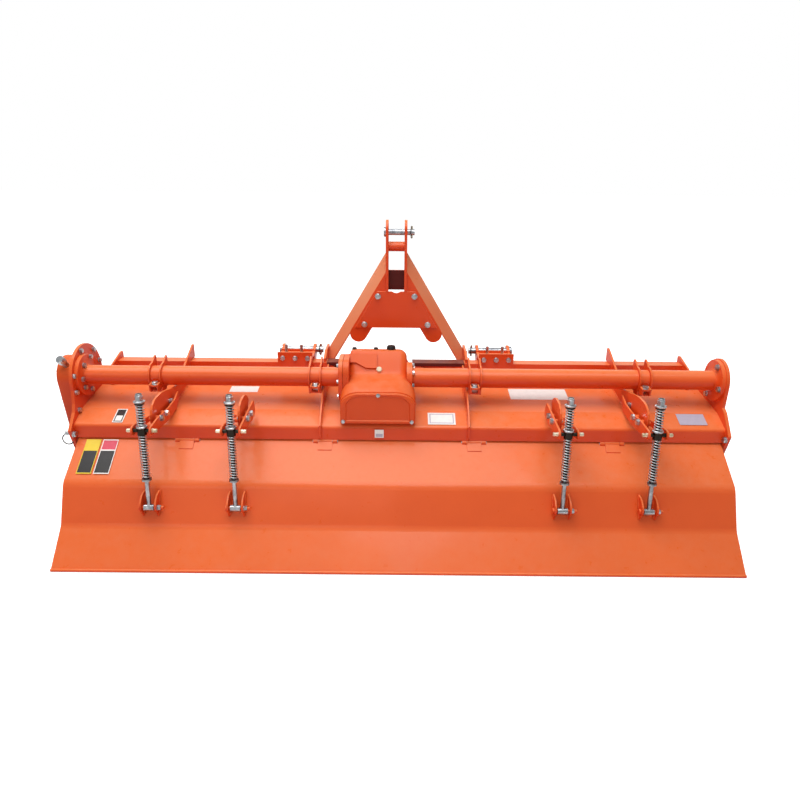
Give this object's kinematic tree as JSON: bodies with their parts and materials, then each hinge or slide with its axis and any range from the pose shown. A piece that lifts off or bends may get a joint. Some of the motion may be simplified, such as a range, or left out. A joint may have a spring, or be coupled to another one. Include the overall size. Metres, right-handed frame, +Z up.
{
  "type": "tractor-mounted rotary tiller",
  "caption": "Wide three-point rotary tiller with bladed rotor, folded hood, torque tubes, hitch mast, side gear case and a sprung trailing board.",
  "frame": {"origin": "on the ground under the middle of the overall box, on the centre plane of the three-point hitch", "axes": "+X to the right seen from behind, along the rotor; +Y forwards to the tractor; +Z up"},
  "size_m": [2.604, 0.835, 1.1583],
  "materials": {
    "orange_paint": "gloss",
    "cast_orange": "satin",
    "black_paint": "satin",
    "zinc_steel": "satin",
    "bare_steel": "satin"
  },
  "bodies": {
    "frame": {"hood": "orange_paint", "hinge_pins": "zinc_steel", "front_beam": "orange_paint", "left_side_plate": "orange_paint", "right_side_plate": "orange_paint", "gear_case": "cast_orange", "bearing_carrier": "cast_orange", "gearbox": "cast_orange", "gearbox_cover": "cast_orange", "gearbox_lid": "cast_orange", "left_torque_tube": "orange_paint", "right_torque_tube": "orange_paint", "left_outer_rib": "orange_paint", "right_outer_rib": "orange_paint", "left_outer_fork": "orange_paint", "right_outer_fork": "orange_paint", "left_inner_fork": "orange_paint", "right_inner_fork": "orange_paint", "tube_clamps": "orange_paint", "left_end_gusset": "orange_paint", "right_end_gusset": "orange_paint", "left_inner_rib": "orange_paint", "right_inner_rib": "orange_paint", "left_mast_leg": "orange_paint", "right_mast_leg": "orange_paint", "left_mast_foot": "orange_paint", "right_mast_foot": "orange_paint", "mast_plate": "orange_paint", "mast_head": "orange_paint", "top_link_pin": "zinc_steel", "left_hitch_bracket": "orange_paint", "right_hitch_bracket": "orange_paint", "left_lower_link_pin": "zinc_steel", "right_lower_link_pin": "zinc_steel", "left_skid": "orange_paint", "right_skid": "orange_paint"},
    "rotor": {"rotor_shaft": "black_paint", "left_hand_blades": "black_paint", "right_hand_blades": "black_paint"},
    "input_shaft": {"input_shaft": "bare_steel"},
    "board": {"trailing_board": "orange_paint", "board_lugs": "orange_paint"},
    "trunnion_1": {"trunnion_1": "zinc_steel"},
    "spring_rod_1": {"spring_rod_1": "zinc_steel", "lower_spring_1": "zinc_steel", "upper_spring_1": "zinc_steel"},
    "trunnion_2": {"trunnion_2": "zinc_steel"},
    "spring_rod_2": {"spring_rod_2": "zinc_steel", "lower_spring_2": "zinc_steel", "upper_spring_2": "zinc_steel"},
    "trunnion_3": {"trunnion_3": "zinc_steel"},
    "spring_rod_3": {"spring_rod_3": "zinc_steel", "lower_spring_3": "zinc_steel", "upper_spring_3": "zinc_steel"},
    "trunnion_4": {"trunnion_4": "zinc_steel"},
    "spring_rod_4": {"spring_rod_4": "zinc_steel", "lower_spring_4": "zinc_steel", "upper_spring_4": "zinc_steel"}
  },
  "joints": [
    {"name": "rotor_turn", "type": "hinge", "parent": "frame", "child": "rotor", "pos_m": [0.02, 0.145, 0.24], "axis": [1, 0, 0], "continuous": true},
    {"name": "input_shaft_turn", "type": "hinge", "parent": "frame", "child": "input_shaft", "pos_m": [0, 0.275, 0.566], "axis": [0, 1, 0], "continuous": true},
    {"name": "board_lift", "type": "hinge", "parent": "frame", "child": "board", "pos_m": [0.02, -0.079, 0.367], "axis": [-1, 0, 0], "range_deg": [-5, 20]},
    {"name": "trunnion_1_swing", "type": "hinge", "parent": "frame", "child": "trunnion_1", "pos_m": [-0.885, -0.267, 0.485], "axis": [-1, 0, 0], "range_deg": [-4, 14]},
    {"name": "rod_1_slide", "type": "slide", "parent": "trunnion_1", "child": "spring_rod_1", "axis": [0, 0.089, 0.996], "range_m": [-0.019, 0.073], "deforming": ["lower_spring_1", "upper_spring_1"]},
    {"name": "trunnion_2_swing", "type": "hinge", "parent": "frame", "child": "trunnion_2", "pos_m": [-0.572, -0.267, 0.485], "axis": [-1, 0, 0], "range_deg": [-4, 14]},
    {"name": "rod_2_slide", "type": "slide", "parent": "trunnion_2", "child": "spring_rod_2", "axis": [0, 0.089, 0.996], "range_m": [-0.019, 0.073], "deforming": ["lower_spring_2", "upper_spring_2"]},
    {"name": "trunnion_3_swing", "type": "hinge", "parent": "frame", "child": "trunnion_3", "pos_m": [0.612, -0.267, 0.485], "axis": [-1, 0, 0], "range_deg": [-4, 14]},
    {"name": "rod_3_slide", "type": "slide", "parent": "trunnion_3", "child": "spring_rod_3", "axis": [0, 0.089, 0.996], "range_m": [-0.019, 0.073], "deforming": ["lower_spring_3", "upper_spring_3"]},
    {"name": "trunnion_4_swing", "type": "hinge", "parent": "frame", "child": "trunnion_4", "pos_m": [0.925, -0.267, 0.485], "axis": [-1, 0, 0], "range_deg": [-4, 14]},
    {"name": "rod_4_slide", "type": "slide", "parent": "trunnion_4", "child": "spring_rod_4", "axis": [0, 0.089, 0.996], "range_m": [-0.019, 0.073], "deforming": ["lower_spring_4", "upper_spring_4"]}
  ],
  "couplings": [
    {"joint": "input_shaft_turn", "follows": "rotor_turn", "ratio": 2.5},
    {"joint": "trunnion_1_swing", "follows": "board_lift", "ratio": 0.69},
    {"joint": "rod_1_slide", "follows": "board_lift", "m_per_rad": 0.2055},
    {"joint": "trunnion_2_swing", "follows": "board_lift", "ratio": 0.69},
    {"joint": "rod_2_slide", "follows": "board_lift", "m_per_rad": 0.2055},
    {"joint": "trunnion_3_swing", "follows": "board_lift", "ratio": 0.69},
    {"joint": "rod_3_slide", "follows": "board_lift", "m_per_rad": 0.2055},
    {"joint": "trunnion_4_swing", "follows": "board_lift", "ratio": 0.69},
    {"joint": "rod_4_slide", "follows": "board_lift", "m_per_rad": 0.2055}
  ]
}
